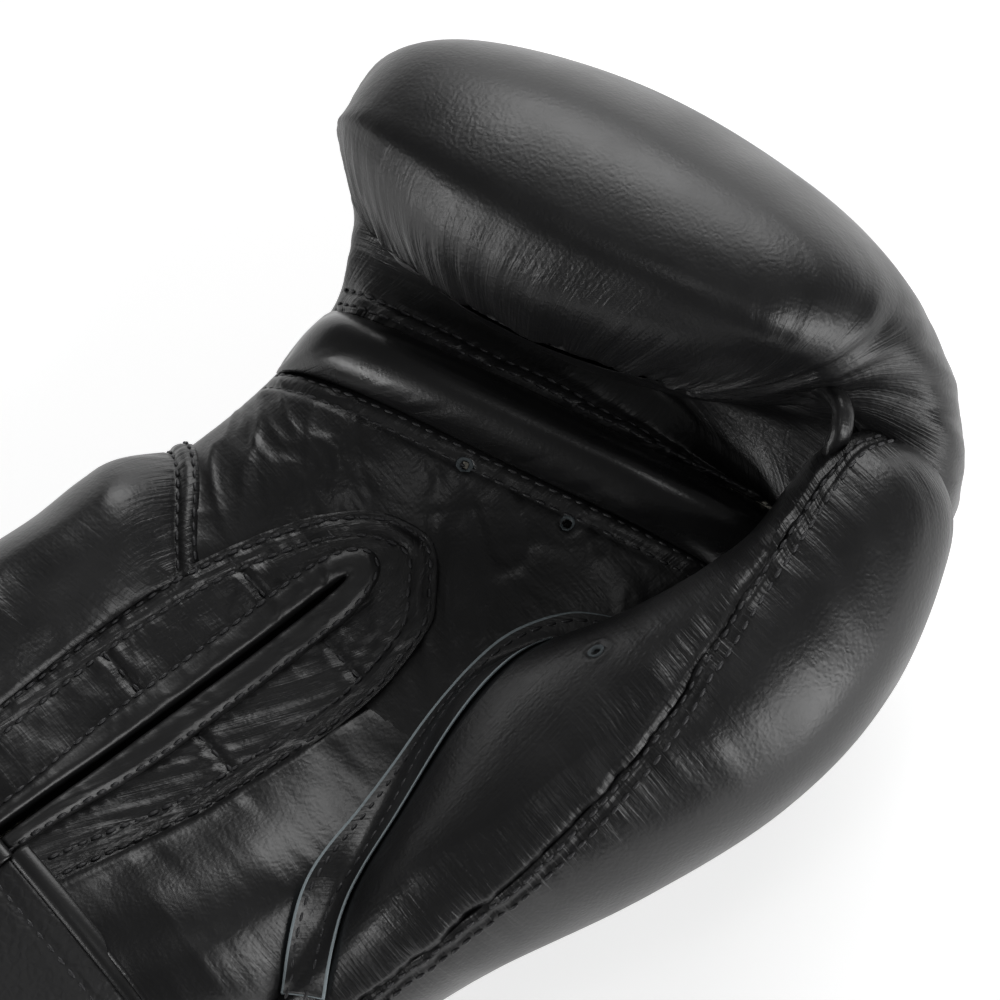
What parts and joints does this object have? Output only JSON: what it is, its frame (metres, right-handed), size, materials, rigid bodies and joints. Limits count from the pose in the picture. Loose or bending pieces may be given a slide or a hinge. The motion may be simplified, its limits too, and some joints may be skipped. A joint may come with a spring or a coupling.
{
  "type": "boxing glove",
  "caption": "Right-hand padded boxing glove lying palm up, with curled fist, grip roll, attached thumb, slit palm, padded cuff and a wrist strap that folds open.",
  "frame": {"origin": "middle of the glove's outline on the floor it lies on", "axes": "+Y from the wrist to the fist, +X towards the thumb, +Z out of the palm, up from the floor"},
  "size_m": [0.1704, 0.2948, 0.12],
  "materials": {
    "glove_leather": "satin, fine grain",
    "band_leather": "satin, with raw grey edges",
    "binding_leather": "smooth",
    "strap_leather": "pebbled",
    "firm_padding": "matte foam",
    "soft_padding": "matte foam",
    "lining": "matte weave",
    "gusset_fabric": "matte",
    "loop_tape": "soft pile",
    "hook_tape": "matte hooks"
  },
  "bodies": {
    "glove": {"mitt_leather": "glove_leather", "firm_foam": "firm_padding", "soft_foam": "soft_padding", "hand_lining": "lining", "palm_leather": "glove_leather", "palm_foam": "soft_padding", "grip_roll_leather": "glove_leather", "grip_roll_core": "soft_padding", "finger_panel": "glove_leather", "slit_facing": "glove_leather", "slit_binding": "binding_leather", "slit_gusset": "gusset_fabric", "pinky_pad_leather": "glove_leather", "pinky_pad_foam": "soft_padding", "thumb_pad_leather": "glove_leather", "thumb_pad_foam": "soft_padding", "thumb_leather": "glove_leather", "thumb_foam": "soft_padding", "thumb_panel": "glove_leather", "thumb_lining": "lining", "thumb_seam_band": "band_leather", "thumb_tab": "glove_leather", "cuff_leather": "glove_leather", "cuff_foam": "firm_padding", "cuff_lining": "lining", "mouth_binding": "binding_leather", "loop_tape": "loop_tape", "strap_root": "strap_leather"},
    "strap": {"strap_flap": "strap_leather", "flap_edging": "binding_leather"},
    "strap_tip": {"strap_end": "strap_leather", "end_edging": "binding_leather", "hook_tape": "hook_tape"}
  },
  "joints": [
    {"name": "strap_fold", "type": "hinge", "parent": "glove", "child": "strap", "pos_m": [-0.07248, -0.09057, 0.0488], "axis": [0, -1, 0], "range_deg": [0, 150]},
    {"name": "strap_peel", "type": "hinge", "parent": "strap", "child": "strap_tip", "pos_m": [0.00361, -0.09057, 0.07791], "axis": [0, -1, 0], "range_deg": [0, 120]}
  ]
}
